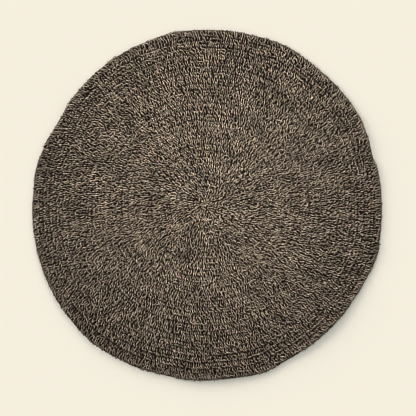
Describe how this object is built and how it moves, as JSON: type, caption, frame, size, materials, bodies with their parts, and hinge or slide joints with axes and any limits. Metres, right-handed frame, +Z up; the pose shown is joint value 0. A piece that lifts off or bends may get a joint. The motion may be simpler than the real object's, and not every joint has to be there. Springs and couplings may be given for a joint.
{
  "type": "round raffia rug",
  "caption": "Round raffia rug of twisted two-tone cord, worked in rounds from the centre out, lying flat with an uneven handmade edge.",
  "frame": {"origin": "middle of the rug's footprint, on the flat underside", "axes": "+Z up out of the worked face; +X and +Y lie across the rug, +X to the right and +Y to the top of the view from above"},
  "size_m": [1.4962, 1.5016, 0.0182],
  "materials": {
    "raffia": "matt twisted raffia cord, one dark and one natural ply"
  },
  "bodies": {
    "root": {"rug": "raffia"}
  },
  "joints": []
}
